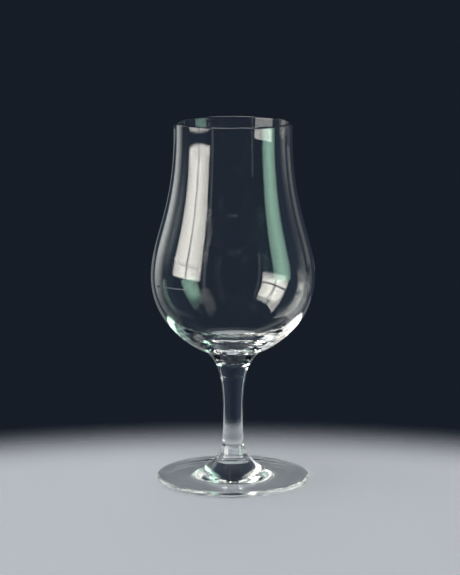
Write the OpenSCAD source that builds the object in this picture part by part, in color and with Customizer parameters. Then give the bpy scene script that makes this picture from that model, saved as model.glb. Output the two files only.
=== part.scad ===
// Stemmed nosing glass: a blown bowl, a drawn stem and a pressed foot, fused end to end.
// Every piece is a solid turned about Z. The table is the plane z = 0.

/* [Bowl] */
// Height of the bowl, from its weld to the lip
bowl_h = 95.5; // [88:0.5:104]
// Outside diameter at the lip
rim_d = 48.5; // [44:0.5:54]
// Outside diameter at the widest part
belly_d = 67.8; // [62:0.2:74]
// Height of the widest part above the weld
belly_up = 31.4; // [28:0.2:36]
// Length of the straight wall below the lip
lip_len = 4; // [2:0.5:8]
// Wall thickness at the lip
lip_wall = 1.3; // [1:0.1:1.8]
// Wall thickness at the widest part
belly_wall = 1.4; // [1.2:0.1:2]
// Thickness of the glass under the inside of the bowl
base_wall = 3.5; // [3:0.25:6]

/* [Stem] */
// Length of the stem between its two welds
stem_l = 38; // [30:0.5:48]
// Diameter at the waist
stem_d = 8.1; // [6.5:0.1:10]
// Height of the waist above the lower weld
waist_up = 10.7; // [8:0.1:14]
// Diameter of the weld between the bowl and the stem
bowl_weld_d = 22.1; // [19:0.1:25]
// Diameter of the weld between the stem and the foot
foot_weld_d = 8.8; // [8:0.1:11]

/* [Foot] */
// Height of the foot, from the table to its weld
foot_h = 16.5; // [14:0.5:20]
// Outside diameter of the foot
foot_d = 63.7; // [56:0.1:72]
// Thickness of the rounded edge
edge_t = 2.2; // [1.6:0.1:3]
// Diameter at which the flare runs out into the disc
toe_d = 27; // [24:0.5:30]
// Height of the flare at that diameter
toe_h = 3.9; // [3.4:0.1:5]
// Width of the ring that stands on the table
rest_w = 1.2; // [0.8:0.1:2.5]
// Rise of the underside at the middle
dish_h = 0.7; // [0.3:0.1:1.2]

/* [Curves] */
// Pull of the neck at the lip, as a share of the neck's height
neck_pull = 0.55; // [0.4:0.01:0.6]
// Pull of the neck at the widest part, as a share of the neck's height
shoulder_pull = 0.28; // [0.2:0.01:0.4]
// Pull of the belly at the widest part, as a share of the belly's height
belly_pull = 0.55; // [0.5:0.01:0.6]
// Pull of the belly at the weld, as a share of the belly's overhang
base_pull = 0.41; // [0.3:0.01:0.5]
// Slope of the belly where it leaves the weld, in degrees
base_slope = 20; // [10:1:30]
// Pull of the inside of the bowl at its bottom, as a share of its radius
cup_pull = 0.52; // [0.45:0.01:0.56]
// Pull of the inside of the bowl at the widest part, as a share of its depth
cup_side_pull = 0.68; // [0.5:0.01:0.7]
// Pull of the stem at the upper weld, as a share of its height above the waist
gather_pull = 0.27; // [0.15:0.01:0.35]
// Slope of the stem where it meets the upper weld, in degrees
gather_slope = 45; // [35:1:60]
// Pull of the stem at the waist, as a share of the height above and below it
waist_pull = 0.6; // [0.4:0.01:0.7]
// Pull of the stem and the flare at the lower weld, as a share of their height
ankle_pull = 0.48; // [0.3:0.01:0.6]
// Pull of the flare at its toe, as a share of the flare's height
toe_pull = 0.44; // [0.3:0.01:0.5]
// Slope of the flare at its toe, in degrees
toe_slope = 33; // [25:1:40]
// Length of the blend from the toe into the disc
toe_blend = 3.7; // [2:0.1:4]

/* [Hidden] */
$fn = 96;
curve_steps = 24;
arc_steps = 10;
glass = [0.86, 0.91, 0.92, 0.5];

rim_r = rim_d / 2;
belly_r = belly_d / 2;
cup_r = belly_r - belly_wall;
mouth_r = rim_r - lip_wall;
lip_r = lip_wall / 2;
neck_z = bowl_h - lip_len;
neck_h = neck_z - belly_up;
bowl_weld_r = bowl_weld_d / 2;
foot_weld_r = foot_weld_d / 2;
stem_r = stem_d / 2;
shank_h = stem_l - waist_up;
foot_r = foot_d / 2;
edge_r = edge_t / 2;
disc_r = foot_r - edge_r;
toe_r = toe_d / 2;
flare_h = foot_h - toe_h;
bowl_z = foot_h + stem_l;

// A step of the given length at an angle in degrees above the outward radius
function step(length, angle) = length * [cos(angle), sin(angle)];

// Points of the cubic curve from a to d with handles b and c, without the last one
function curve(a, b, c, d) = [
    for (i = [0 : curve_steps - 1])
        let (t = i / curve_steps, u = 1 - t)
            u * u * u * a + 3 * u * u * t * b + 3 * u * t * t * c + t * t * t * d
];

// Points of a round edge about its middle, from one angle to another
function arc(middle, r, from, to) = [
    for (i = [0 : arc_steps])
        middle + step(r, from + (to - from) * i / arc_steps)
];

// Neck of one face of the bowl, from the widest part up to the straight wall
function neck(wide_r, mouth) = curve(
    [wide_r, belly_up],
    [wide_r, belly_up + shoulder_pull * neck_h],
    [mouth, neck_z - neck_pull * neck_h],
    [mouth, neck_z]
);

// Outside of the belly, from the weld up to the widest part
function belly() = curve(
    [bowl_weld_r, 0],
    [bowl_weld_r, 0] + step(base_pull * (belly_r - bowl_weld_r), base_slope),
    [belly_r, belly_up - belly_pull * belly_up],
    [belly_r, belly_up]
);

// Inside of the bowl, from the middle of the bottom up to the widest part
function cup() = curve(
    [0, base_wall],
    [cup_pull * cup_r, base_wall],
    [cup_r, belly_up - cup_side_pull * (belly_up - base_wall)],
    [cup_r, belly_up]
);

// A list in the opposite order
function reversed(list) = [for (i = [len(list) - 1 : -1 : 0]) list[i]];

// Thin-walled cup with a fire-rounded lip and a thick base, standing on its weld
module bowl() {
    outside = concat(belly(), neck(belly_r, rim_r), [[rim_r, neck_z]]);
    lip = arc([rim_r - lip_r, bowl_h - lip_r], lip_r, 0, 180);
    inside = concat(cup(), neck(cup_r, mouth_r), [[mouth_r, neck_z]]);
    color(glass)
        translate([0, 0, bowl_z])
            rotate_extrude()
                polygon(concat([[0, 0]], outside, lip, reversed(inside)));
}

// Solid stem, drawn in at its waist and gathered out at the top to meet the bowl
module stem() {
    shank = curve(
        [stem_r, waist_up],
        [stem_r, waist_up + waist_pull * shank_h],
        [bowl_weld_r, stem_l] - step(gather_pull * shank_h, gather_slope),
        [bowl_weld_r, stem_l]
    );
    ankle = curve(
        [foot_weld_r, 0],
        [foot_weld_r, ankle_pull * waist_up],
        [stem_r, waist_up - waist_pull * waist_up],
        [stem_r, waist_up]
    );
    color(glass)
        translate([0, 0, foot_h])
            rotate_extrude()
                polygon(concat([[0, 0]], ankle, shank, [[bowl_weld_r, stem_l], [0, stem_l]]));
}

// Disc foot with a flare up to the stem, a rounded edge and a dished underside
module foot() {
    rest_r = disc_r - rest_w;
    dish = curve([0, dish_h], [rest_r / 3, dish_h], [rest_r * 2 / 3, dish_h / 3], [rest_r, 0]);
    edge = arc([disc_r, edge_r], edge_r, -90, 90);
    disc = curve(
        [toe_r, toe_h],
        [toe_r, toe_h] + step(toe_blend, -toe_slope),
        [toe_r + toe_blend, edge_t],
        [disc_r, edge_t]
    );
    flare = curve(
        [foot_weld_r, foot_h],
        [foot_weld_r, foot_h - ankle_pull * flare_h],
        [toe_r, toe_h] + step(toe_pull * flare_h, 180 - toe_slope),
        [toe_r, toe_h]
    );
    color(glass)
        rotate_extrude()
            polygon(concat(dish, [[rest_r, 0]], edge, reversed(concat(flare, disc)), [[0, foot_h]]));
}

bowl();
stem();
foot();
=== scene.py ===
import math
from typing import NamedTuple

import bpy
import numpy as np
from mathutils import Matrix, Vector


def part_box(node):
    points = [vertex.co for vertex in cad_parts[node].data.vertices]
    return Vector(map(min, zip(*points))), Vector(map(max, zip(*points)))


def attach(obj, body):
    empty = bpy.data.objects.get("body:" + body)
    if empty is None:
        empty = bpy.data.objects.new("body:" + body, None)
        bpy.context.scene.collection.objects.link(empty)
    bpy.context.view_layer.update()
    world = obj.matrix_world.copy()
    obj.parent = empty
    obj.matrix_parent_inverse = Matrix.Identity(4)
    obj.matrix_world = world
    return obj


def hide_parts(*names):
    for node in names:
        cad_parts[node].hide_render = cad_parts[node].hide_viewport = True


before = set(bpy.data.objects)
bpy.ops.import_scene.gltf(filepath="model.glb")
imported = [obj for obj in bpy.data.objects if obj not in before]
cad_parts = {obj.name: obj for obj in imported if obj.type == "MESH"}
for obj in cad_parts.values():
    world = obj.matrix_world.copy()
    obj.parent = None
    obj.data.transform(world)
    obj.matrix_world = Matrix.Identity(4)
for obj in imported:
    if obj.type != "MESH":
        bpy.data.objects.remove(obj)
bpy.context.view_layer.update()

bl_info = {
    "name": "Nosing glass",
    "version": (1, 0, 0),
    "blender": (4, 5, 0),
    "location": "View3D > Sidebar > Nosing glass",
    "description": "Blown bowl, drawn stem and pressed foot of a stemmed nosing glass, on a lit stage",
    "category": "Object",
}

MM = 0.001
BOWL_LOW, BOWL_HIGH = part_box("bowl")
STEM_LOW, STEM_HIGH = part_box("stem")
FOOT_LOW, FOOT_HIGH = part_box("foot")

# Faint waves in the blown wall: turns round the axis, drift with height, start and share of each.
CORD_WAVES = ((5, 40.0, 0.0, 1.0), (11, -65.0, 1.3, 0.6), (23, 30.0, 0.4, 0.35))
CORD_FADE = 8 * MM
CORD_LEAST_R = 4 * MM

FLOOR_RINGS = 8
FLOOR_SEGMENTS = 96
SENSOR_MM = 36.0
OVERHEAD_PLACE = (-0.25, -0.15, 1.0)
OVERHEAD_TILT = (math.radians(-9.0), math.radians(-14.0), 0.0)


class Card(NamedTuple):
    """A curved card round the glass: where it stands, which light it sends out and where that is seen

    Turn is where it starts and ends, in degrees left of the camera, and heights are its lower and upper edge.
    Light names a colour of the stage, and seen_in one of the tests below. Rise is how far the lower edge
    climbs at either end, and through says whether the card is also seen through glass.
    """

    turn: tuple
    heights: tuple
    light: str
    distance: float = 1.6
    edges: tuple = ()
    seen_in: str = ""
    rise: tuple = (0.0, 0.0)
    through: bool = True


CARD_PLACE = "card_place"
CARD_COLUMNS = 17
CARD_ROWS = 9
CARD_TOP = 1.5
CARD_WAIST = -0.35
CARD_LOW = -1.3
HIGH_CARD_MIDDLE = (0.0, 0.8, CARD_TOP)
HIGH_CARD_HALF = 0.35
HIGH_CARD_STEPS = 5

# What the light of a card may have done: whether it was mirrored, and how many faces of glass it has crossed.
MIRRORED = ("Glossy Depth", "GREATER_THAN", 0)
UNMIRRORED = ("Glossy Depth", "LESS_THAN", 1)
FEW_FACES = ("Transmission Depth", "LESS_THAN", 3)
MANY_FACES = ("Transmission Depth", "GREATER_THAN", 3)
CARD_TESTS = {
    "near": (MIRRORED, FEW_FACES),
    "far": (MIRRORED, MANY_FACES),
    "both": (MIRRORED,),
    "stem": (UNMIRRORED, FEW_FACES),
}

# Soft edges: the axis across or up a card, the places where the step starts and ends, and its lowest share.
LOWER_EDGE = ("Y", 0.0, 0.015, 0.0)
SOFT_SIDES = (("X", 0.0, 0.5, 0.0), ("X", 1.0, 0.5, 0.0))
FRONT_EDGES = (LOWER_EDGE, ("X", 0.0, 1.0, 0.6))
SIDE_EDGES = (LOWER_EDGE, ("X", 1.0, 0.0, 0.6))
GEL_EDGES = (LOWER_EDGE, ("Y", 1.0, 0.5, 0.4), ("X", 0.0, 0.5, 0.6), ("X", 1.0, 0.5, 0.6))
LIP_EDGES = (("Y", 0.0, 0.28, 0.0),)
STRIP_EDGES = (("X", 0.0, 0.7, 0.0), ("X", 1.0, 0.95, 0.0), ("Y", 0.3, 0.65, 0.15))
WEAK_EDGES = (("X", 0.0, 0.4, 0.0), ("X", 1.0, 0.4, 0.0))
LOW_EDGES = (*SOFT_SIDES, ("Y", 1.0, 0.5, 0.0))
LEFT_DIM_EDGES = (("X", 1.0, 0.5, 0.45),)
RIGHT_DIM_EDGES = (("X", 0.0, 0.4, 0.45),)

FRONT_TURN = (47.0, 69.0)
SIDE_TURN = (71.0, 93.0)
GEL_TURN = (-87.0, -59.0)
NEAR_HEIGHTS = (0.02, CARD_TOP)
FAR_HEIGHTS = (0.25, CARD_TOP)
STEM_HEIGHTS = (-0.42, 1.2)
LIP_RISE = (3.0 * MM, 1.5 * MM)

CARDS = {
    "near_softbox_front": Card(FRONT_TURN, NEAR_HEIGHTS, "near_softbox", 1.6, FRONT_EDGES, "near"),
    "near_softbox_side": Card(SIDE_TURN, NEAR_HEIGHTS, "near_softbox", 1.6, SIDE_EDGES, "near"),
    "near_gel": Card(GEL_TURN, (-0.05, CARD_TOP), "gel", 1.6, GEL_EDGES, "near"),
    "far_softbox_front": Card(FRONT_TURN, FAR_HEIGHTS, "far_softbox", 1.65, FRONT_EDGES, "far"),
    "far_softbox_side": Card(SIDE_TURN, FAR_HEIGHTS, "far_softbox", 1.65, SIDE_EDGES, "far"),
    "far_gel": Card(GEL_TURN, FAR_HEIGHTS, "gel", 1.65, GEL_EDGES, "far"),
    "upright_bar": Card((68.5, 71.5), (0.2, CARD_TOP), "bar", 1.62, seen_in="far"),
    "level_bar": Card((46.0, 94.0), (0.55, 0.61), "bar", 1.63, seen_in="far"),
    "near_lip_card": Card((44.0, 90.0), (0.1217, 0.131), "near_lip", 0.25, LIP_EDGES, "near", LIP_RISE),
    "lip_bar": Card((66.4, 67.4), (0.12, 0.132), "bar", 0.248, seen_in="near"),
    "far_lip_card": Card((48.0, 92.0), (0.093, 0.124), "far_lip", 0.26, seen_in="far"),
    "low_line": Card((36.0, 136.0), (-0.262, -0.238), "strip", 1.58, SOFT_SIDES, "near"),
    "left_strip": Card((112.0, 144.0), (-CARD_TOP, CARD_TOP), "strip", 1.6, STRIP_EDGES, "both"),
    "right_strip": Card((-148.0, -124.0), (CARD_WAIST, CARD_TOP), "weak_strip", 1.6, WEAK_EDGES, "both"),
    "right_low_strip": Card((-140.0, -105.0), (CARD_LOW, 0.0), "low_strip", 1.55, LOW_EDGES, "both"),
    "thin_strip": Card((37.5, 44.0), (-0.6, CARD_TOP), "low_strip", 1.6, SOFT_SIDES, "both"),
    "left_stem_strip": Card((124.0, 132.0), STEM_HEIGHTS, "stem_line", 1.57, SOFT_SIDES, "stem"),
    "right_stem_strip": Card((-132.0, -124.0), STEM_HEIGHTS, "stem_line", 1.57, SOFT_SIDES, "stem"),
    "left_rear": Card((150.0, 178.0), (CARD_LOW, -0.02), "left_rear", through=False),
    "right_rear": Card((-178.0, -150.0), (CARD_LOW, CARD_WAIST), "right_rear", through=False),
    "left_dim": Card((94.0, 180.0), (CARD_LOW, CARD_TOP), "dim", 1.8, LEFT_DIM_EDGES),
    "right_dim": Card((-180.0, -60.0), (CARD_LOW, CARD_TOP), "dim", 1.8, RIGHT_DIM_EDGES),
}


def length(name, description, metres):
    """A length in metres."""
    return bpy.props.FloatProperty(
        name=name, description=description, default=metres, unit="LENGTH", precision=5
    )


def share(name, description, value):
    """A share of another size, from 0 to 1."""
    return bpy.props.FloatProperty(
        name=name, description=description, default=value, min=0.0, max=1.0, subtype="FACTOR"
    )


def angle(name, description, degrees):
    """An angle, kept in radians and given in degrees."""
    return bpy.props.FloatProperty(
        name=name, description=description, default=math.radians(degrees), subtype="ANGLE"
    )


def number(name, description, value):
    """A plain number."""
    return bpy.props.FloatProperty(name=name, description=description, default=value)


def count(name, description, value):
    """A whole number of samples."""
    return bpy.props.IntProperty(name=name, description=description, default=value, min=3)


def colour(name, description, rgb):
    """A linear colour."""
    return bpy.props.FloatVectorProperty(
        name=name, description=description, default=rgb, size=3, subtype="COLOR", min=0.0, soft_max=1.0
    )


class BowlSettings(bpy.types.PropertyGroup):
    """Sizes of the blown bowl"""

    weld_z: length("Weld height", "Height of the weld to the stem", BOWL_LOW.z)
    lip_z: length("Lip height", "Height of the lip above the table", BOWL_HIGH.z)
    belly_d: length("Belly diameter", "Outside diameter at the widest part", BOWL_HIGH.x - BOWL_LOW.x)
    weld_d: length("Weld diameter", "Diameter of the weld to the stem", STEM_HIGH.x - STEM_LOW.x)
    rim_d: length("Rim diameter", "Outside diameter at the lip", 48.5 * MM)
    belly_up: length("Belly height", "Height of the widest part above the weld", 31.4 * MM)
    lip_len: length("Straight lip", "Length of the straight wall below the lip", 4.0 * MM)
    lip_wall: length("Lip wall", "Wall thickness at the lip", 1.3 * MM)
    belly_wall: length("Belly wall", "Wall thickness at the widest part", 1.4 * MM)
    base_wall: length("Base", "Thickness of the glass under the inside of the bowl", 3.5 * MM)
    neck_pull: share("Neck pull", "Pull of the neck at the lip, a share of its height", 0.55)
    shoulder_pull: share("Shoulder pull", "Pull of the neck at the belly, a share of its height", 0.28)
    belly_pull: share("Belly pull", "Pull of the belly at its widest part", 0.55)
    base_pull: share("Base pull", "Pull of the belly at the weld, a share of its overhang", 0.41)
    base_slope: angle("Base slope", "Slope of the belly where it leaves the weld", 20.0)
    cup_pull: share("Cup pull", "Pull of the inside at its bottom, a share of its radius", 0.52)
    cup_side_pull: share("Cup side pull", "Pull of the inside at the belly, a share of its depth", 0.68)
    cord: length("Cord", "Height of the faint waves that blowing leaves in the wall", 0.005 * MM)
    line_scale: number("Line scale", "Fineness of the flow lines", 160.0)
    line_draw: share("Line draw", "Scale of the flow lines along the axis: the lower, the longer", 0.06)
    line_depth: length("Line depth", "Depth of the flow lines", 0.0002 * MM)


class StemSettings(bpy.types.PropertyGroup):
    """Sizes of the drawn stem"""

    low_z: length("Lower weld", "Height of the weld to the foot", STEM_LOW.z)
    high_z: length("Upper weld", "Height of the weld to the bowl", STEM_HIGH.z)
    top_d: length("Upper weld diameter", "Diameter of the weld to the bowl", STEM_HIGH.x - STEM_LOW.x)
    bottom_d: length("Lower weld diameter", "Diameter of the weld to the foot", 8.8 * MM)
    waist_d: length("Waist diameter", "Diameter at the waist", 8.1 * MM)
    waist_up: length("Waist height", "Height of the waist above the lower weld", 10.7 * MM)
    gather_pull: share("Gather pull", "Pull at the upper weld, a share of the height above the waist", 0.27)
    gather_slope: angle("Gather slope", "Slope where the stem meets the upper weld", 45.0)
    waist_pull: share("Waist pull", "Pull at the waist, a share of the height beside it", 0.6)
    ankle_pull: share("Ankle pull", "Pull at the lower weld, a share of the height below the waist", 0.48)
    line_scale: number("Line scale", "Fineness of the flow lines", 500.0)
    line_draw: share("Line draw", "Scale of the flow lines along the axis: the lower, the longer", 0.04)
    line_depth: length("Line depth", "Depth of the flow lines", 0.002 * MM)


class FootSettings(bpy.types.PropertyGroup):
    """Sizes of the pressed foot"""

    high_z: length("Weld height", "Height of the weld to the stem", FOOT_HIGH.z)
    foot_d: length("Foot diameter", "Outside diameter of the foot", FOOT_HIGH.x - FOOT_LOW.x)
    weld_d: length("Weld diameter", "Diameter of the weld to the stem", 8.8 * MM)
    edge_t: length("Edge", "Thickness of the rounded edge", 2.2 * MM)
    toe_d: length("Toe diameter", "Diameter at which the flare runs out into the disc", 27.0 * MM)
    toe_h: length("Toe height", "Height of the flare at that diameter", 3.9 * MM)
    rest_w: length("Standing ring", "Width of the ring that stands on the table", 1.2 * MM)
    dish_h: length("Dish", "Rise of the underside at the middle", 0.7 * MM)
    ankle_pull: share("Ankle pull", "Pull of the flare at the weld, a share of its height", 0.48)
    toe_pull: share("Toe pull", "Pull of the flare at its toe, a share of its height", 0.44)
    toe_slope: angle("Toe slope", "Slope of the flare at its toe", 33.0)
    toe_blend: length("Toe blend", "Length of the blend from the toe into the disc", 3.7 * MM)
    chill_h: length("Chill ring height", "Height of the rings that pressing leaves on the flare", 0.03 * MM)
    chill_pitch: length("Chill ring pitch", "Distance between the rings on the flare", 1.3 * MM)
    line_scale: number("Line scale", "Fineness of the flow lines", 220.0)
    line_draw: share("Line draw", "Scale of the flow lines along the axis: the lower, the longer", 1.0)
    line_depth: length("Line depth", "Depth of the flow lines", 0.0004 * MM)


class GlassSettings(bpy.types.PropertyGroup):
    """Finish of the glass, shared by all pieces"""

    segments: count("Segments", "Points round each ring", 384)
    steps: count("Steps", "Points along each curve of an outline", 52)
    tint: colour("Tint", "Colour that the glass leaves in the light", (0.985, 0.995, 0.99))
    refraction: number("Refraction", "Refractive index of the glass", 1.52)
    film: number("Film", "Roughness of the faint film that handling leaves", 0.02)


class StageSettings(bpy.types.PropertyGroup):
    """Floor, light and camera"""

    camera_back: length("Camera distance", "Distance of the camera in front of the glass", 0.916)
    camera_up: length("Camera height", "Height of the camera above the table", 0.2442)
    camera_side: length("Camera offset", "Offset of the camera to the right of the glass", -1.27 * MM)
    camera_pitch: angle("Camera pitch", "Angle of the view below level", 10.084)
    lens_mm: number("Lens", "Focal length for a 36 mm frame, in millimetres", 140.7)
    backdrop: colour("Backdrop", "Colour behind the glass", (0.0085, 0.0125, 0.0205))
    fill: colour("Fill", "Soft light from all round", (0.85, 0.86, 0.88))
    floor: colour("Floor", "Colour of the floor", (0.46, 0.48, 0.51))
    floor_front: length("Floor offset", "Distance of the middle of the floor in front of the glass", 0.25)
    floor_r: length("Floor radius", "Distance from its middle at which the floor has faded out", 0.36)
    floor_full_r: length("Floor plain radius", "Distance from its middle that the floor stays plain", 0.27)
    floor_mirror: length("Floor mirror", "Distance over which glass still mirrors the floor", 0.05)
    floor_gap: length("Floor gap", "Air between the floor and the ring that the glass stands on", 0.03 * MM)
    near_softbox: colour("Near softbox", "Light of the softbox in the near wall", (8.6, 8.4, 7.7))
    far_softbox: colour("Far softbox", "Light of the softbox in the far wall", (12.6, 12.2, 11.3))
    near_lip: colour("Near lip light", "Light of the card for the near side of the lip", (6.6, 6.4, 6.0))
    far_lip: colour("Far lip light", "Light of the card for the far side of the lip", (5.0, 4.9, 4.65))
    high: colour("High card", "Light of the flat card above and behind the glass", (8.0, 8.0, 7.6))
    bar: colour("Bars", "Light of the thin bars across the cards", (0.0, 0.0, 0.0))
    gel: colour("Gel panel", "Light of the gel panel on the right", (2.4, 4.0, 3.1))
    strip: colour("Edge strip", "Light of the left strip and of the low line", (1.35, 1.4, 1.37))
    low_strip: colour("Low strip", "Light of the low and the thin strip", (0.55, 0.6, 0.6))
    weak_strip: colour("Weak strip", "Light of the strip that draws the right edge", (0.21, 0.225, 0.23))
    stem_line: colour("Stem strips", "Light of the strips down the sides of the stem", (0.75, 0.79, 0.79))
    right_rear: colour("Right rear card", "Light of the low card behind, on the right", (0.25, 0.27, 0.28))
    left_rear: colour("Left rear card", "Light of the low card behind, on the left", (0.27, 0.30, 0.29))
    dim: colour("Dim cards", "Light of the wide cards behind the glass", (0.034, 0.047, 0.072))
    overhead_w: number("Overhead light", "Power of the soft overhead light, in watts", 2.4)
    overhead_side: length("Overhead size", "Side of the soft overhead light", 0.7)


def point(r, z):
    """A point of an outline: its distance from the axis and its height."""
    return np.array([r, z])


def step(distance, slope):
    """A step along an outline: a distance at an angle above the outward radius."""
    return distance * np.array([math.cos(slope), math.sin(slope)])


def curve(a, b, c, d, steps):
    """Cubic from a to d with handles b and c: the points weighted by the terms of the cube of u plus t.

    The last point is left out, so that curves can follow each other.
    """
    t = np.linspace(0.0, 1.0, steps, endpoint=False)[:, None]
    u = 1.0 - t
    return u**3 * a + 3 * u**2 * t * b + 3 * u * t**2 * c + t**3 * d


def arc(middle, radius, start, end, steps):
    """Round edge: the middle plus the radius turned evenly from one angle to another."""
    turn = np.linspace(start, end, steps)
    return middle + radius * np.stack([np.cos(turn), np.sin(turn)], axis=-1)


def bowl_outline(s, steps):
    """Weld cap, outside, lip and inside of the bowl, from the axis at the weld to that in the cup."""
    weld_r = s.weld_d / 2
    belly_r = s.belly_d / 2
    cup_r = belly_r - s.belly_wall
    rim_r = s.rim_d / 2
    mouth_r = rim_r - s.lip_wall
    lip_r = s.lip_wall / 2
    belly_z = s.weld_z + s.belly_up
    cup_z = s.weld_z + s.base_wall
    neck_z = s.lip_z - s.lip_len
    neck_h = neck_z - belly_z
    weld = point(weld_r, s.weld_z)
    belly = curve(
        weld,
        weld + step(s.base_pull * (belly_r - weld_r), s.base_slope),
        point(belly_r, belly_z - s.belly_pull * s.belly_up),
        point(belly_r, belly_z),
        steps,
    )

    def neck(wide_r, narrow_r):
        """One side of the wall from the belly to the lip: a cubic that starts and ends upright."""
        return curve(
            point(wide_r, belly_z),
            point(wide_r, belly_z + s.shoulder_pull * neck_h),
            point(narrow_r, neck_z - s.neck_pull * neck_h),
            point(narrow_r, neck_z),
            steps,
        )

    cup = curve(
        point(0.0, cup_z),
        point(s.cup_pull * cup_r, cup_z),
        point(cup_r, belly_z - s.cup_side_pull * (belly_z - cup_z)),
        point(cup_r, belly_z),
        steps,
    )
    lip = arc(point(rim_r - lip_r, s.lip_z - lip_r), lip_r, 0.0, math.pi, steps // 2)
    inside = np.concatenate([cup, neck(cup_r, mouth_r), [point(mouth_r, neck_z)]])
    axis = [point(0.0, s.weld_z)]
    return np.concatenate([axis, belly, neck(belly_r, rim_r), [point(rim_r, neck_z)], lip, inside[::-1]])


def stem_outline(s, steps):
    """Lower cap, ankle, shank and upper cap of the stem, from the axis at one weld to the other."""
    top_r = s.top_d / 2
    bottom_r = s.bottom_d / 2
    waist_r = s.waist_d / 2
    waist_z = s.low_z + s.waist_up
    shank_h = s.high_z - waist_z
    top = point(top_r, s.high_z)
    ankle = curve(
        point(bottom_r, s.low_z),
        point(bottom_r, s.low_z + s.ankle_pull * s.waist_up),
        point(waist_r, waist_z - s.waist_pull * s.waist_up),
        point(waist_r, waist_z),
        steps,
    )
    shank = curve(
        point(waist_r, waist_z),
        point(waist_r, waist_z + s.waist_pull * shank_h),
        top - step(s.gather_pull * shank_h, s.gather_slope),
        top,
        steps,
    )
    return np.concatenate([[point(0.0, s.low_z)], ankle, shank, [top, point(0.0, s.high_z)]])


def foot_outline(s, steps):
    """Dished underside, edge, disc, flare and weld cap of the foot, from the axis below to that above."""
    edge_r = s.edge_t / 2
    disc_r = s.foot_d / 2 - edge_r
    rest_r = disc_r - s.rest_w
    weld_r = s.weld_d / 2
    flare_h = s.high_z - s.toe_h
    toe = point(s.toe_d / 2, s.toe_h)
    weld = point(weld_r, s.high_z)
    dish = curve(
        point(0.0, s.dish_h),
        point(rest_r / 3, s.dish_h),
        point(rest_r * 2 / 3, s.dish_h / 3),
        point(rest_r, 0.0),
        steps,
    )
    edge = arc(point(disc_r, edge_r), edge_r, -math.pi / 2, math.pi / 2, steps)
    disc = curve(
        point(disc_r, s.edge_t),
        point(toe[0] + s.toe_blend, s.edge_t),
        toe + step(s.toe_blend, -s.toe_slope),
        toe,
        steps,
    )
    flare = curve(
        toe,
        toe + step(s.toe_pull * flare_h, math.pi - s.toe_slope),
        point(weld_r, s.high_z - s.ankle_pull * flare_h),
        weld,
        steps,
    )
    flare = chill_rings(flare, s.chill_h, s.chill_pitch)
    return np.concatenate([dish, [point(rest_r, 0.0)], edge, disc[1:], flare, [weld, point(0.0, s.high_z)]])


def chill_rings(outline, height, pitch):
    """Fine rings on the flare: a cosine of the length along the outline, faded to nothing at both ends."""
    along = np.gradient(outline, axis=0)
    run = np.cumsum(np.hypot(along[:, 0], along[:, 1]))
    part = run / run[-1]
    out = np.stack([along[:, 1], -along[:, 0]], axis=-1)
    out /= np.hypot(out[:, 0], out[:, 1])[:, None]
    wave = height * np.cos(2 * math.pi * run / pitch) * np.sin(math.pi * part) ** 2
    return outline + wave[:, None] * out


def blown_cord(rings, weld_z, height):
    """Faint waves of the blown wall: cosines round the axis that drift with height, faded at the weld."""
    turn = np.arctan2(rings[..., 1], rings[..., 0])
    z = rings[..., 2]
    waves = [part * np.cos(turns * turn + drift * z + start) for turns, drift, start, part in CORD_WAVES]
    fade = np.clip((z - weld_z) / CORD_FADE, 0.0, 1.0) ** 2
    radius = np.hypot(rings[..., 0], rings[..., 1])
    grow = 1.0 + height * sum(waves) * fade / np.maximum(radius, CORD_LEAST_R)
    return rings * np.stack([grow, grow, np.ones_like(grow)], axis=-1)


def turned_rings(outline, segments):
    """Grid of an outline turned about Z: radius times cosine and sine of an even turn, at its height."""
    turn = np.arange(segments) * (2 * math.pi / segments)
    x = outline[:, :1] * np.cos(turn)
    y = outline[:, :1] * np.sin(turn)
    z = np.repeat(outline[:, 1:], segments, axis=1)
    return np.stack([x, y, z], axis=-1)


def closed_mesh(name, rings, low, high):
    """Closed skin over a stack of rings, with a fan of triangles to one point on the axis at each end."""
    rows, segments = rings.shape[:2]
    points = np.concatenate([[low], rings.reshape(-1, 3), [high]])
    here = np.arange(segments)
    ahead = (here + 1) % segments
    row = 1 + segments * np.arange(rows - 1)[:, None]
    quads = np.stack([row + here, row + ahead, row + segments + ahead, row + segments + here], axis=-1)
    top = 1 + segments * (rows - 1)
    first = np.stack([np.zeros_like(here), 1 + ahead, 1 + here], axis=-1)
    last = np.stack([np.full_like(here, len(points) - 1), top + here, top + ahead], axis=-1)
    corners = np.concatenate([first.ravel(), quads.ravel(), last.ravel()])
    sizes = np.concatenate([np.full(segments, 3), np.full(quads.size // 4, 4), np.full(segments, 3)])
    mesh = bpy.data.meshes.new(name)
    mesh.vertices.add(len(points))
    mesh.vertices.foreach_set("co", points.astype(np.float32).ravel())
    mesh.loops.add(len(corners))
    mesh.loops.foreach_set("vertex_index", corners.astype(np.int32))
    mesh.polygons.add(len(sizes))
    mesh.polygons.foreach_set("loop_start", (np.cumsum(sizes) - sizes).astype(np.int32))
    mesh.polygons.foreach_set("use_smooth", np.ones(len(sizes), dtype=bool))
    mesh.update(calc_edges=True)
    mesh.validate()
    return mesh


def side_normals(mesh, rings):
    """Normals of the turned skin: the step round each ring crossed with the step along the outline.

    They leave out the fans at both ends, so that the skin runs on smoothly into the next piece.
    """
    round_step = np.roll(rings, -1, axis=1) - np.roll(rings, 1, axis=1)
    normals = np.cross(round_step, np.gradient(rings, axis=0))
    normals /= np.linalg.norm(normals, axis=-1, keepdims=True)
    ends = np.array([[0.0, 0.0, -1.0], [0.0, 0.0, 1.0]])
    normals = np.concatenate([ends[:1], normals.reshape(-1, 3), ends[1:]])
    mesh.normals_split_custom_set_from_vertices(normals.tolist())


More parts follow.
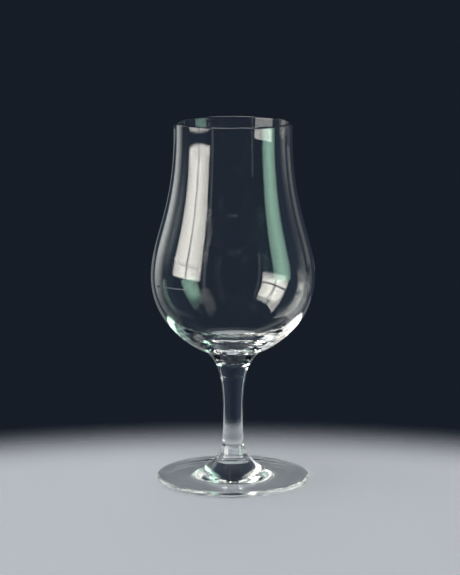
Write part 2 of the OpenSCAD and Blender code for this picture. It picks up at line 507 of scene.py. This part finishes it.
def weld_caps(mesh, segments, low, high):
    """Gives the fan of triangles at each fused end the second material."""
    total = len(mesh.polygons)
    is_cap = np.zeros(total, dtype=np.int32)
    is_cap[:segments] = low
    is_cap[total - segments:] = high
    mesh.polygons.foreach_set("material_index", is_cap)


def glass_piece(name, node, outline, segments, materials, caps, shape=None):
    """One turned piece of glass that stands for a solid of the frame."""
    rings = turned_rings(outline[1:-1], segments)
    if shape is not None:
        rings = shape(rings)
    low = (0.0, 0.0, outline[0, 1])
    high = (0.0, 0.0, outline[-1, 1])
    mesh = closed_mesh(name, rings, low, high)
    for material in materials:
        mesh.materials.append(material)
    weld_caps(mesh, segments, *caps)
    side_normals(mesh, rings)
    piece = bpy.data.objects.new(name, mesh)
    bpy.context.scene.collection.objects.link(piece)
    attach(piece, "root")
    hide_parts(node)
    return piece


def new_group(name, inputs, outputs):
    """An empty shader node group with named number or vector sockets."""
    group = bpy.data.node_groups.new(name, "ShaderNodeTree")
    for label, kind, default in inputs:
        socket = group.interface.new_socket(label, in_out="INPUT", socket_type=kind)
        if default is not None:
            socket.default_value = default
    for label, kind in outputs:
        group.interface.new_socket(label, in_out="OUTPUT", socket_type=kind)
    return group, group.nodes.new("NodeGroupInput"), group.nodes.new("NodeGroupOutput")


def math_node(nodes, operation, second=None):
    """A Math node, with its second number where that is fixed."""
    node = nodes.new("ShaderNodeMath")
    node.operation = operation
    if second is not None:
        node.inputs[1].default_value = second
    return node


def fade_node(nodes, start, end, interpolation="SMOOTHSTEP"):
    """A smooth step from one value to another."""
    node = nodes.new("ShaderNodeMapRange")
    node.interpolation_type = interpolation
    node.inputs["From Min"].default_value = start
    node.inputs["From Max"].default_value = end
    return node


def handling_film_group():
    """Faint smears that handling leaves: soft noise, cut to patches and scaled to a roughness."""
    group = bpy.data.node_groups.get("Handling film")
    if group:
        return group
    group, given, result = new_group(
        "Handling film",
        [
            ("Vector", "NodeSocketVector", None),
            ("Scale", "NodeSocketFloat", 40.0),
            ("Amount", "NodeSocketFloat", 0.02),
        ],
        [("Roughness", "NodeSocketFloat")],
    )
    noise = group.nodes.new("ShaderNodeTexNoise")
    noise.inputs["Detail"].default_value = 4.0
    patch = fade_node(group.nodes, 0.5, 0.75)
    link = group.links.new
    link(given.outputs["Vector"], noise.inputs["Vector"])
    link(given.outputs["Scale"], noise.inputs["Scale"])
    link(noise.outputs["Fac"], patch.inputs["Value"])
    link(given.outputs["Amount"], patch.inputs["To Max"])
    link(patch.outputs["Result"], result.inputs["Roughness"])
    return group


def flow_lines_group():
    """Fine lines that hot glass keeps from its flow: noise drawn out along the axis of the glass."""
    group = bpy.data.node_groups.get("Flow lines")
    if group:
        return group
    group, given, result = new_group(
        "Flow lines",
        [
            ("Vector", "NodeSocketVector", None),
            ("Scale", "NodeSocketFloat", 300.0),
            ("Draw", "NodeSocketFloat", 0.05),
        ],
        [("Height", "NodeSocketFloat")],
    )
    squeeze = group.nodes.new("ShaderNodeCombineXYZ")
    squeeze.inputs["X"].default_value = 1.0
    squeeze.inputs["Y"].default_value = 1.0
    drawn = group.nodes.new("ShaderNodeVectorMath")
    drawn.operation = "MULTIPLY"
    noise = group.nodes.new("ShaderNodeTexNoise")
    noise.inputs["Detail"].default_value = 2.0
    link = group.links.new
    link(given.outputs["Draw"], squeeze.inputs["Z"])
    link(given.outputs["Vector"], drawn.inputs[0])
    link(squeeze.outputs["Vector"], drawn.inputs[1])
    link(drawn.outputs["Vector"], noise.inputs["Vector"])
    link(given.outputs["Scale"], noise.inputs["Scale"])
    link(noise.outputs["Fac"], result.inputs["Height"])
    return group


def clear_glass(name, finish, piece):
    """Clear glass with a faint film, and with the flow lines of one piece."""
    material = bpy.data.materials.new(name)
    material.use_nodes = True
    nodes = material.node_tree.nodes
    link = material.node_tree.links.new
    shader = nodes["Principled BSDF"]
    shader.inputs["Base Color"].default_value = (*finish.tint, 1.0)
    shader.inputs["IOR"].default_value = finish.refraction
    shader.inputs["Transmission Weight"].default_value = 1.0
    place = nodes.new("ShaderNodeTexCoord")
    film = nodes.new("ShaderNodeGroup")
    film.node_tree = handling_film_group()
    film.inputs["Amount"].default_value = finish.film
    lines = nodes.new("ShaderNodeGroup")
    lines.node_tree = flow_lines_group()
    lines.inputs["Scale"].default_value = piece.line_scale
    lines.inputs["Draw"].default_value = piece.line_draw
    bump = nodes.new("ShaderNodeBump")
    bump.inputs["Distance"].default_value = piece.line_depth
    link(place.outputs["Object"], film.inputs["Vector"])
    link(place.outputs["Object"], lines.inputs["Vector"])
    link(film.outputs["Roughness"], shader.inputs["Roughness"])
    link(lines.outputs["Height"], bump.inputs["Height"])
    link(bump.outputs["Normal"], shader.inputs["Normal"])
    return material


def fused_weld():
    """The face inside a weld, where the glass runs through and nothing is seen."""
    material = bpy.data.materials.get("fused_weld")
    if material:
        return material
    material = bpy.data.materials.new("fused_weld")
    material.use_nodes = True
    shader = material.node_tree.nodes["Principled BSDF"]
    shader.inputs["Base Color"].default_value = (1.0, 1.0, 1.0, 1.0)
    shader.inputs["Alpha"].default_value = 0.0
    return material


def light_material(name, rgb, edges=(), seen_in=""):
    """Light that a card sends out: an even colour times one smooth step for each soft edge.

    A card for one wall or both walls of the bowl is seen only in mirrored light, and one for the stem only in
    light that isn't mirrored. The walls are told apart by the faces of glass that the light has crossed.
    """
    material = bpy.data.materials.new(name)
    material.use_nodes = True
    nodes = material.node_tree.nodes
    link = material.node_tree.links.new
    nodes.remove(nodes["Principled BSDF"])
    glow = nodes.new("ShaderNodeEmission")
    glow.inputs["Color"].default_value = (*rgb, 1.0)
    place = nodes.new("ShaderNodeAttribute")
    place.attribute_name = CARD_PLACE
    split = nodes.new("ShaderNodeSeparateXYZ")
    link(place.outputs["Vector"], split.inputs["Vector"])
    for axis, start, full, least in edges:
        fade = fade_node(nodes, start, full)
        fade.inputs["To Min"].default_value = least
        level = math_node(nodes, "MULTIPLY", 1.0)
        link(split.outputs[axis], fade.inputs["Value"])
        link(fade.outputs["Result"], level.inputs[0])
        for earlier in glow.inputs["Strength"].links:
            link(earlier.from_socket, level.inputs[1])
        link(level.outputs["Value"], glow.inputs["Strength"])
    lit = glow.outputs["Emission"]
    for depth, test, limit in CARD_TESTS.get(seen_in, ()):
        path = nodes.new("ShaderNodeLightPath")
        meant = math_node(nodes, test, limit)
        clear = nodes.new("ShaderNodeBsdfTransparent")
        mix = nodes.new("ShaderNodeMixShader")
        link(path.outputs[depth], meant.inputs[0])
        link(meant.outputs["Value"], mix.inputs["Fac"])
        link(clear.outputs["BSDF"], mix.inputs[1])
        link(lit, mix.inputs[2])
        lit = mix.outputs["Shader"]
    link(lit, nodes["Material Output"].inputs["Surface"])
    return material


def floor_material(s):
    """Plain pale floor: it fades out with distance from its middle, and only glass close to it mirrors it."""
    material = bpy.data.materials.new("pale_floor")
    material.use_nodes = True
    nodes = material.node_tree.nodes
    link = material.node_tree.links.new
    shader = nodes["Principled BSDF"]
    shader.inputs["Base Color"].default_value = (*s.floor, 1.0)
    shader.inputs["Roughness"].default_value = 0.7
    shader.inputs["Specular IOR Level"].default_value = 0.2
    place = nodes.new("ShaderNodeTexCoord")
    distance = nodes.new("ShaderNodeVectorMath")
    distance.operation = "DISTANCE"
    distance.inputs[1].default_value = (0.0, -s.floor_front, 0.0)
    fade = fade_node(nodes, s.floor_full_r, s.floor_r, "SMOOTHERSTEP")
    path = nodes.new("ShaderNodeLightPath")
    far_off = math_node(nodes, "GREATER_THAN", s.floor_mirror)
    mirrored = math_node(nodes, "MINIMUM")
    open_to = math_node(nodes, "MAXIMUM")
    open_to.use_clamp = True
    clear = nodes.new("ShaderNodeBsdfTransparent")
    mix = nodes.new("ShaderNodeMixShader")
    link(place.outputs["Object"], distance.inputs[0])
    link(distance.outputs["Value"], fade.inputs["Value"])
    link(fade.outputs["Result"], open_to.inputs[0])
    link(path.outputs["Ray Length"], far_off.inputs[0])
    link(path.outputs["Glossy Depth"], mirrored.inputs[0])
    link(far_off.outputs["Value"], mirrored.inputs[1])
    link(mirrored.outputs["Value"], open_to.inputs[1])
    link(open_to.outputs["Value"], mix.inputs["Fac"])
    link(shader.outputs["BSDF"], mix.inputs[1])
    link(clear.outputs["BSDF"], mix.inputs[2])
    link(mix.outputs["Shader"], nodes["Material Output"].inputs["Surface"])
    return material


def grid_mesh(name, points):
    """Open sheet over a grid of points."""
    rows, columns = points.shape[:2]
    at = np.arange(rows * columns).reshape(rows, columns)
    quads = np.stack([at[:-1, :-1], at[:-1, 1:], at[1:, 1:], at[1:, :-1]], axis=-1).reshape(-1, 4)
    mesh = bpy.data.meshes.new(name)
    mesh.from_pydata(points.reshape(-1, 3).tolist(), [], quads.tolist())
    return mesh


def stage_object(name, mesh, material):
    """Puts a piece of the stage into the scene."""
    mesh.materials.append(material)
    thing = bpy.data.objects.new(name, mesh)
    bpy.context.scene.collection.objects.link(thing)
    return thing


def floor_disc(s):
    """Flat disc a hair below the glass: even rings round a middle in front of it."""
    radius = np.linspace(0.0, s.floor_r, FLOOR_RINGS)
    outline = np.stack([radius, np.zeros_like(radius)], axis=-1)
    rings = turned_rings(outline, FLOOR_SEGMENTS) - np.array([0.0, s.floor_front, s.floor_gap])
    mesh = grid_mesh("floor", np.concatenate([rings, rings[:, :1]], axis=1))
    return stage_object("floor", mesh, floor_material(s))


def light_card(name, mesh, material, through):
    """Puts a card into the scene that is seen in the glass alone."""
    card = stage_object(name, mesh, material)
    card.visible_camera = False
    card.visible_diffuse = False
    card.visible_shadow = False
    card.visible_transmission = through
    return card


def arc_card(name, card, material):
    """Upright curved card round the glass: its distance turned evenly from one end to the other.

    Its lower edge climbs towards either end by the square of the way there. Its own place attribute runs
    from 0 to 1 across and up the card.
    """
    across, up = np.meshgrid(np.linspace(0.0, 1.0, CARD_COLUMNS), np.linspace(0.0, 1.0, CARD_ROWS))
    start, end = card.turn
    turn = np.radians(start + (end - start) * across)
    lower = card.heights[0] + card.rise[0] * (1.0 - across) ** 2 + card.rise[1] * across**2
    z = lower + (card.heights[1] - lower) * up
    points = np.stack([-card.distance * np.sin(turn), -card.distance * np.cos(turn), z], axis=-1)
    mesh = grid_mesh(name, points)
    place = np.stack([across, up, np.zeros_like(up)], axis=-1).astype(np.float32)
    mesh.attributes.new(CARD_PLACE, "FLOAT_VECTOR", "POINT").data.foreach_set("vector", place.ravel())
    return light_card(name, mesh, material, card.through)


def flat_card(name, middle, half, material):
    """Level square card: its middle plus even steps to either side."""
    side = np.linspace(-half, half, HIGH_CARD_STEPS)
    x, y = np.meshgrid(side, side)
    points = np.stack([x, y, np.zeros_like(x)], axis=-1) + np.array(middle)
    return light_card(name, grid_mesh(name, points), material, False)


def light_cards(s):
    """All cards round the glass: a softbox on the left, a gel panel on the right, bars, lip cards and strips.

    The softbox and the gel panel stand there once for each wall of the bowl, and a flat card hangs above and
    behind.
    """
    for name, card in CARDS.items():
        light = light_material(f"{name}_light", getattr(s, card.light), card.edges, card.seen_in)
        arc_card(name, card, light)
    flat_card("high_card", HIGH_CARD_MIDDLE, HIGH_CARD_HALF, light_material("high_card_light", s.high))


def overhead_light(s):
    """Soft square light above and to the left of the glass."""
    lamp = bpy.data.lights.new("overhead", "AREA")
    lamp.energy = s.overhead_w
    lamp.size = s.overhead_side
    thing = bpy.data.objects.new("overhead", lamp)
    thing.location = OVERHEAD_PLACE
    thing.rotation_euler = OVERHEAD_TILT
    thing.visible_glossy = False
    thing.visible_transmission = False
    bpy.context.scene.collection.objects.link(thing)


def surroundings(s):
    """Dark backdrop where it is seen, also in the glass, and soft light from all round elsewhere."""
    world = bpy.data.worlds.new("studio")
    bpy.context.scene.world = world
    world.use_nodes = True
    nodes = world.node_tree.nodes
    link = world.node_tree.links.new
    soft = nodes["Background"]
    soft.inputs["Color"].default_value = (*s.fill, 1.0)
    dark = nodes.new("ShaderNodeBackground")
    dark.inputs["Color"].default_value = (*s.backdrop, 1.0)
    path = nodes.new("ShaderNodeLightPath")
    mirrored = math_node(nodes, "MAXIMUM")
    seen = math_node(nodes, "MAXIMUM")
    unlit = math_node(nodes, "SUBTRACT")
    unlit.use_clamp = True
    mix = nodes.new("ShaderNodeMixShader")
    link(path.outputs["Is Glossy Ray"], mirrored.inputs[0])
    link(path.outputs["Is Transmission Ray"], mirrored.inputs[1])
    link(path.outputs["Is Camera Ray"], seen.inputs[0])
    link(mirrored.outputs["Value"], seen.inputs[1])
    link(seen.outputs["Value"], unlit.inputs[0])
    link(path.outputs["Diffuse Depth"], unlit.inputs[1])
    link(unlit.outputs["Value"], mix.inputs["Fac"])
    link(soft.outputs["Background"], mix.inputs[1])
    link(dark.outputs["Background"], mix.inputs[2])
    link(mix.outputs["Shader"], nodes["World Output"].inputs["Surface"])


def camera(s):
    """Camera at the angle of the photograph."""
    lens = bpy.data.cameras.new("camera")
    lens.sensor_width = SENSOR_MM
    lens.lens = s.lens_mm
    thing = bpy.data.objects.new("camera", lens)
    thing.location = (s.camera_side, -s.camera_back, s.camera_up)
    thing.rotation_euler = (math.pi / 2 - s.camera_pitch, 0.0, 0.0)
    bpy.context.scene.collection.objects.link(thing)
    bpy.context.scene.camera = thing


def light_paths():
    """Lets light cross all the walls of the glass before it is given up, and keeps it sharp on the way."""
    cycles = bpy.context.scene.cycles
    cycles.max_bounces = 48
    cycles.transmission_bounces = 40
    cycles.glossy_bounces = 40
    cycles.transparent_max_bounces = 16
    cycles.sample_clamp_indirect = 12.0
    cycles.use_denoising = True
    cycles.blur_glossy = 0.0
    bpy.context.scene.view_settings.view_transform = "Standard"


class NOSING_OT_bowl(bpy.types.Operator):
    """Blow the bowl"""

    bl_idname = "nosing.bowl"
    bl_label = "Bowl"

    def execute(self, context):
        s = context.scene.nosing_bowl
        g = context.scene.nosing_glass
        glass = clear_glass("bowl_glass", g, s)
        outline = bowl_outline(s, g.steps)
        glass_piece(
            "glass_bowl", "bowl", outline, g.segments, (glass, fused_weld()), (True, False),
            lambda rings: blown_cord(rings, s.weld_z, s.cord),
        )
        return {"FINISHED"}


class NOSING_OT_stem(bpy.types.Operator):
    """Draw the stem"""

    bl_idname = "nosing.stem"
    bl_label = "Stem"

    def execute(self, context):
        s = context.scene.nosing_stem
        g = context.scene.nosing_glass
        glass = clear_glass("stem_glass", g, s)
        outline = stem_outline(s, g.steps)
        glass_piece("glass_stem", "stem", outline, g.segments, (glass, fused_weld()), (True, True))
        return {"FINISHED"}


class NOSING_OT_foot(bpy.types.Operator):
    """Press the foot"""

    bl_idname = "nosing.foot"
    bl_label = "Foot"

    def execute(self, context):
        s = context.scene.nosing_foot
        g = context.scene.nosing_glass
        glass = clear_glass("foot_glass", g, s)
        outline = foot_outline(s, g.steps)
        glass_piece("glass_foot", "foot", outline, g.segments, (glass, fused_weld()), (False, True))
        return {"FINISHED"}


class NOSING_OT_stage(bpy.types.Operator):
    """Set the floor, the light and the camera"""

    bl_idname = "nosing.stage"
    bl_label = "Stage"

    def execute(self, context):
        s = context.scene.nosing_stage
        floor_disc(s)
        light_cards(s)
        overhead_light(s)
        surroundings(s)
        camera(s)
        light_paths()
        return {"FINISHED"}


class NOSING_PT_panel(bpy.types.Panel):
    """Lists the pieces of the glass and the stage"""

    bl_idname = "NOSING_PT_panel"
    bl_label = "Nosing glass"
    bl_space_type = "VIEW_3D"
    bl_region_type = "UI"
    bl_category = "Nosing glass"

    def draw(self, context):
        for settings in SETTINGS:
            box = self.layout.box()
            if settings in OPERATORS:
                box.operator(OPERATORS[settings].bl_idname)
            group = getattr(context.scene, settings)
            for name in group.bl_rna.properties.keys():
                if name not in ("rna_type", "name"):
                    box.prop(group, name)


SETTINGS = {
    "nosing_glass": GlassSettings,
    "nosing_bowl": BowlSettings,
    "nosing_stem": StemSettings,
    "nosing_foot": FootSettings,
    "nosing_stage": StageSettings,
}
OPERATORS = {
    "nosing_bowl": NOSING_OT_bowl,
    "nosing_stem": NOSING_OT_stem,
    "nosing_foot": NOSING_OT_foot,
    "nosing_stage": NOSING_OT_stage,
}
CLASSES = (*SETTINGS.values(), *OPERATORS.values(), NOSING_PT_panel)


def register():
    """Registers the classes and hangs the settings on the scene."""
    for made in CLASSES:
        bpy.utils.register_class(made)
    for name, group in SETTINGS.items():
        setattr(bpy.types.Scene, name, bpy.props.PointerProperty(type=group))


def unregister():
    """Takes the settings off the scene and the classes out again."""
    for name in SETTINGS:
        delattr(bpy.types.Scene, name)
    for made in reversed(CLASSES):
        bpy.utils.unregister_class(made)


def main():
    """Makes the glass and the stage."""
    register()
    bpy.ops.nosing.bowl()
    bpy.ops.nosing.stem()
    bpy.ops.nosing.foot()
    bpy.ops.nosing.stage()


if __name__ == "__main__":
    main()
